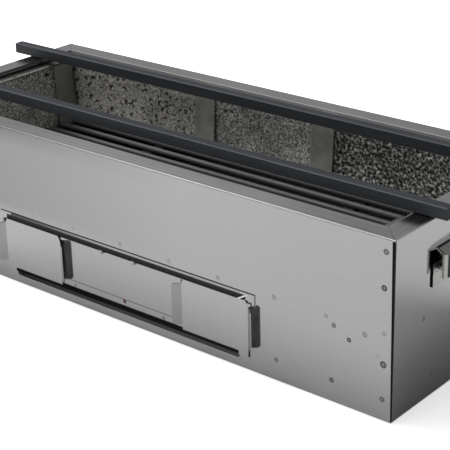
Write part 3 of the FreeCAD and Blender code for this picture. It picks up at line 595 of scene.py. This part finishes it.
# Carrying handles: a bowed hood of bent sheet over the fingers at each end, with two rivets through
# each of its two ears. The slope is browned by heat, and its outline, the ears' cut edges and the
# lip that the fingers hold are coloured nearly black.
handle_steel, tree, shader, colour, grain, parts = steel(
    "handle_sheet", (0.40, 0.395, 0.385), stretch=(420.0, 8.0, 420.0),
    smoothest=0.22, roughest=0.38, relief=0.05)
handle_facing = facing(tree)
out_from_middle = calculate(tree, "ABSOLUTE", parts["X"])
along_handle = calculate(tree, "ABSOLUTE", parts["Y"])
slope = calculate(tree, "GREATER_THAN", handle_facing["Z"], 0.5)
colour = mix_colour(tree, slope, colour, (0.215, 0.205, 0.195))
outline = calculate(tree, "MAXIMUM",
                    band(tree, out_from_middle, HALF_LENGTH, 1.6 * MM, 0.4 * MM),
                    band(tree, along_handle, 61.5 * MM, 1.6 * MM, 0.4 * MM))
colour = mix_colour(tree, overlap(tree, outline, slope), colour, grey(0.012))
on_ear = overlap(tree, band(tree, out_from_middle, 300.8 * MM, 0.8 * MM, 0.1 * MM),
                 band(tree, parts["Z"], 112.3 * MM, 10.9 * MM, 0.2 * MM))
dark_edge = overlap(
    tree, band(tree, handle_facing["X"], centre=0.0, half_width=0.02, soft=0.01), on_ear)
colour = mix_colour(tree, dark_edge, colour, grey(0.006))
black_lip = overlap(
    tree, band(tree, handle_facing["Z"], centre=0.0, half_width=0.02, soft=0.01),
    band(tree, parts["Y"], 0.0, 57.5 * MM, 0.2 * MM),
    band(tree, out_from_middle, 317.0 * MM, 10.2 * MM, 0.1 * MM))
tree.links.new(mix_colour(tree, black_lip, colour, grey(0.004)), shader.inputs["Base Color"])
tree.links.new(mix_value(tree, black_lip, 1.0, 0.0), shader.inputs["Metallic"])
tree.links.new(mix_value(tree, black_lip, grain["Roughness"], 0.55), shader.inputs["Roughness"])
rivet_steel = steel("rivet_head", (0.5, 0.5, 0.49), stretch=(200.0, 200.0, 200.0),
                    smoothest=0.2, roughest=0.35, relief=0.05)[0]
for side in ("left", "right"):
    dress(nodes[f"{side}_handle"], handle_steel)
    dress(nodes[f"{side}_rivets"], rivet_steel)


# Inside sheet: welded ledges that the slabs stand on, and bent strips that hold the slabs, in
# duller steel that has been warm. The strips are rubbed along their length and dusty with ash. The
# end strips are painted darker than the others, as shade, and their covers under the rim darker
# still, as painted shade under the rim.
ledge_steel = steel("ledge_sheet", (0.24, 0.24, 0.23), stretch=(40.0, 300.0, 300.0),
                    smoothest=0.35, roughest=0.5, relief=0.1)[0]
for name in ("front_ledge", "back_ledge", "left_ledge", "right_ledge"):
    dress(nodes[name], ledge_steel)
STRIP_STRETCH = (400.0, 400.0, 16.0)
clip_steel, tree, shader, colour, grain, parts = steel(
    "clip_strip", (0.36, 0.37, 0.335), stretch=STRIP_STRETCH,
    smoothest=0.5, roughest=0.7, relief=0.2, metallic=0.1)
dusty = fade(tree, mottling(tree, object_place(tree), scale=70.0, detail=5.0), 0.42, 0.62)
tree.links.new(mix_colour(tree, dusty, colour, (0.28, 0.285, 0.26)), shader.inputs["Base Color"])
for name in ("front_clips", "back_clips"):
    dress(nodes[name], clip_steel)
# Painted shade: the end strips are a darker copy of the strip steel.
end_clip_shaded_steel, tree, shader, colour, grain, parts = steel(
    "end_clip_shaded_strip", (0.265, 0.27, 0.245), stretch=STRIP_STRETCH,
    smoothest=0.5, roughest=0.7, relief=0.2, metallic=0.1)
# Painted shade: the covers under the rim are darkened.
cover_shade = fade(tree, parts["Z"], 153.0 * MM, 154.5 * MM)
tree.links.new(mix_colour(tree, cover_shade, colour, (0.095, 0.096, 0.09)), shader.inputs["Base Color"])
for name in ("left_clips", "right_clips"):
    dress(nodes[name], end_clip_shaded_steel)

# Floor pan: the same sheet, bent up at its edges and welded to the walls. Behind its front edge
# under the slot it is painted dark and made matt, as painted shade inside the casing.
pan_steel, tree, shader, colour, grain, parts = steel(
    "pan_sheet", (0.30, 0.30, 0.29), stretch=(20.0, 200.0, 200.0),
    smoothest=0.3, roughest=0.5, relief=0.1)
# Painted shade: the pan is darkened behind its front edge.
pan_shade = fade(tree, parts["Y"], -116.5 * MM, -114.5 * MM)
tree.links.new(mix_colour(tree, pan_shade, colour, (0.080, 0.078, 0.075)), shader.inputs["Base Color"])
tree.links.new(mix_value(tree, pan_shade, grain["Roughness"], 0.7), shader.inputs["Roughness"])
dress(nodes["base_pan"], pan_steel)


# Fire grate: drawn round rod, welded on two flats, blackened in patches by its first fires.
# The rods keep a little sheen, and everything below them is painted black, as shade under the rods.
ROD_THICKNESS = 5.0 * MM
rod_steel, tree, shader, colour, grain, parts = steel(
    "grate_rod", (0.098, 0.100, 0.106), stretch=(14.0, 260.0, 260.0),
    smoothest=0.42, roughest=0.6, relief=0.12, metallic=0.35)
rods_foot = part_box("grate")[1].z - ROD_THICKNESS
# Painted shade: below the rods the grate is painted black.
shade_under_rods = calculate(tree, "LESS_THAN", parts["Z"], rods_foot)
tree.links.new(mix_colour(tree, shade_under_rods, colour, grey(0.014)), shader.inputs["Base Color"])
tree.links.new(mix_value(tree, shade_under_rods, 0.35, 0.0), shader.inputs["Metallic"])
dress(nodes["grate"], rod_steel)


# Loose skewer bars: hot-rolled square bar with its blue-black mill scale. Where the scale has
# rubbed off in streaks along its edges it is lighter, as wear and as a painted edge highlight, and
# its front and back faces are painted lighter in those streaks, as painted light on the sides.
bar_steel, tree, shader, colour, grain, parts = steel(
    "bar_scale", (0.024, 0.027, 0.032), stretch=(10.0, 180.0, 180.0),
    smoothest=0.35, roughest=0.55, relief=0.15, metallic=0.0)
shader.inputs["Specular IOR Level"].default_value = 0.1
bar_facing = facing(tree)
rubbed = fade(tree, grain["Tone"], 0.97, 1.01, start=0.5, end=1.0)
# Painted light: the front and back faces are lightened in the rubbed streaks.
side_light = fade(tree, calculate(tree, "ABSOLUTE", bar_facing["Y"]), 0.75, 0.98)
colour = mix_colour(tree, overlap(tree, side_light, rubbed), colour, (0.058, 0.062, 0.068))
# Wear and painted highlight: the rounded long edges are lightened.
edge_slant = calculate(tree, "ABSOLUTE",
                       calculate(tree, "MULTIPLY", bar_facing["Y"], bar_facing["Z"]))
edge_wear_and_highlight = overlap(tree, fade(tree, edge_slant, 0.08, 0.25), rubbed)
tree.links.new(mix_colour(tree, edge_wear_and_highlight, colour, (0.115, 0.122, 0.134)),
               shader.inputs["Base Color"])
for name in ("front_bar", "back_bar"):
    dress(nodes[name], bar_steel)


# Stone lining: slabs sawn from porous volcanic stone, full of pits a few millimetres across.
# The sawn faces keep their plane and the pits go inwards. The right-hand slabs are the coarser
# ones, and those at the left of the long walls are a warmer stone with larger, scattered pores.
STONE_CAST = (1.0, 0.985, 0.93)
STONE_RELIEF = 0.9 * MM
COARSE_FROM = 75.2 * MM
OPEN_MIDDLE, OPEN_HALF = -172.5 * MM, 97.0 * MM
stone_paint, tree, shader = make_material("porous_stone")
place = object_place(tree)
parts = parts_of(tree, place)


def stone_colours(tree, value, stops):
    """A ramp of stone greys. It has two stops to start with, and the third goes between them."""
    ramp = tree.nodes.new("ShaderNodeValToRGB")
    elements = ramp.color_ramp.elements
    for index, (position, tone) in enumerate(stops):
        stop = elements[index] if index < 2 else elements.new(position)
        stop.position = position
        stop.color = (*(tone * share for share in STONE_CAST), 1.0)
    tree.links.new(value, ramp.inputs["Fac"])
    return ramp.outputs["Color"]


fine_grain = mottling(tree, place, scale=520.0, detail=4.0, roughness=0.65)
coarse_grain = mottling(tree, place, scale=300.0, detail=4.0, roughness=0.62)
fine_colour = stone_colours(tree, fine_grain, ((0.36, 0.085), (0.65, 0.72), (0.50, 0.31)))
coarse_colour = stone_colours(tree, coarse_grain, ((0.41, 0.016), (0.63, 0.78), (0.52, 0.175)))
coarse = calculate(tree, "GREATER_THAN", parts["X"], COARSE_FROM)
colour = mix_colour(tree, coarse, fine_colour, coarse_colour)
open_stone = band(tree, parts["X"], OPEN_MIDDLE, OPEN_HALF, 0.4 * MM)
open_pore = fade(tree, mottling(tree, place, scale=190.0, detail=3.0, roughness=0.6), 0.56, 0.61)
colour = mix_colour(tree, overlap(tree, open_stone, 0.4), colour, (0.50, 0.475, 0.41))
# Painted shade: the larger pores of this stone are painted near black, as the shade inside them.
colour = mix_colour(tree, overlap(tree, open_stone, open_pore), colour, (0.045, 0.041, 0.035))
patches = fade(tree, mottling(tree, place, scale=28.0, detail=2.0, roughness=0.5), 0.35, 0.65,
               start=1.05, end=1.50)
colour = scale_colour(tree, colour, patches)
pores = tree.nodes.new("ShaderNodeTexVoronoi")
pores.inputs["Scale"].default_value = 260.0
tree.links.new(place, pores.inputs["Vector"])
# Painted shade: the small pores, which the bump also presses in, are painted near black.
in_pore = fade(tree, pores.outputs["Distance"], 0.14, 0.30, start=0.85, end=0.0)
colour = mix_colour(tree, in_pore, colour, (0.016, 0.015, 0.013))
# The sawn tops under the rim and the slab at the left end are painted darker, as shade.
top_shade = fade(tree, parts["Z"], 151.5 * MM, 153.5 * MM, end=0.7)
colour = mix_colour(tree, top_shade, colour, (0.095, 0.094, 0.088))
end_slab_shade = overlap(tree, band(tree, parts["X"], -283.5 * MM, 12.7 * MM, 0.3 * MM), 0.45)
colour = mix_colour(tree, end_slab_shade, colour, (0.13, 0.13, 0.125))
# Painted shade: the geometric pits are darkened by their depth.
pit = tree.nodes.new("ShaderNodeAttribute")
pit.attribute_name = "pit"
tree.links.new(mix_colour(tree, pit.outputs["Fac"], colour, (0.012, 0.011, 0.009)),
               shader.inputs["Base Color"])
stone_bump = tree.nodes.new("ShaderNodeBump")
stone_bump.inputs["Strength"].default_value = 0.7
stone_bump.inputs["Distance"].default_value = STONE_RELIEF
tree.links.new(calculate(tree, "SUBTRACT", coarse_grain, in_pore), stone_bump.inputs["Height"])
tree.links.new(stone_bump.outputs["Normal"], shader.inputs["Normal"])
shader.inputs["Roughness"].default_value = 0.92

STONE_CELL = 1.6 * MM
# How far apart the pits of each size are, and how far each reaches.
PITS = ((8.0 * MM, 1.9 * MM), (4.6 * MM, 1.4 * MM))
PIT_LEAST = 0.35
PIT_CHANCE_SCALE = 3.7
PIT_DARK = 1.8 * MM
PIT_DEEPEST = 2.6 * MM
SAWN_ROUGHNESS = 0.3 * MM
SAWN_SCALE = 400.0


def pit_depth(point):
    """How deep the pits are at a point of a sawn face, in metres."""
    depth = 0.0
    for spacing, reach in PITS:
        distances, centres = noise.voronoi(point / spacing)
        chance = noise.noise(centres[0] * PIT_CHANCE_SCALE) ** 2 * 4.0
        size = reach * (PIT_LEAST + (1.0 - PIT_LEAST) * chance)
        depth = max(depth, size - distances[0] * spacing)
    return depth


def stone_slab(node):
    """A slab in its node's place, cut into small cells that the pits push in."""
    low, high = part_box(node)
    span = high - low
    shape = bmesh.new()
    bmesh.ops.create_cube(shape, size=1.0, matrix=Matrix.Translation((low + high) / 2)
                          @ Matrix.Diagonal((*span, 1.0)))
    for axis in range(3):
        along = [edge for edge in shape.edges
                 if abs((edge.verts[1].co - edge.verts[0].co).normalized()[axis]) > 0.9]
        cuts = max(1, round(span[axis] / STONE_CELL) - 1)
        bmesh.ops.subdivide_edges(shape, edges=along, cuts=cuts, use_grid_fill=True)
    shape.normal_update()
    pits = shape.verts.layers.float.new("pit")
    for vertex in shape.verts:
        depth = pit_depth(vertex.co)
        rough = SAWN_ROUGHNESS * (1.0 + noise.noise(vertex.co * SAWN_SCALE))
        vertex[pits] = min(1.0, depth / PIT_DARK)
        vertex.co -= vertex.normal * (min(depth, PIT_DEEPEST) + rough)
    piece = finish_mesh(shape, f"{node}_stone", stone_paint)
    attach(piece, "casing")
    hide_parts(node)


for node in ("front_left_slab", "front_middle_slab", "front_right_slab", "back_left_slab",
             "back_middle_slab", "back_right_slab", "left_slab", "right_slab"):
    stone_slab(node)
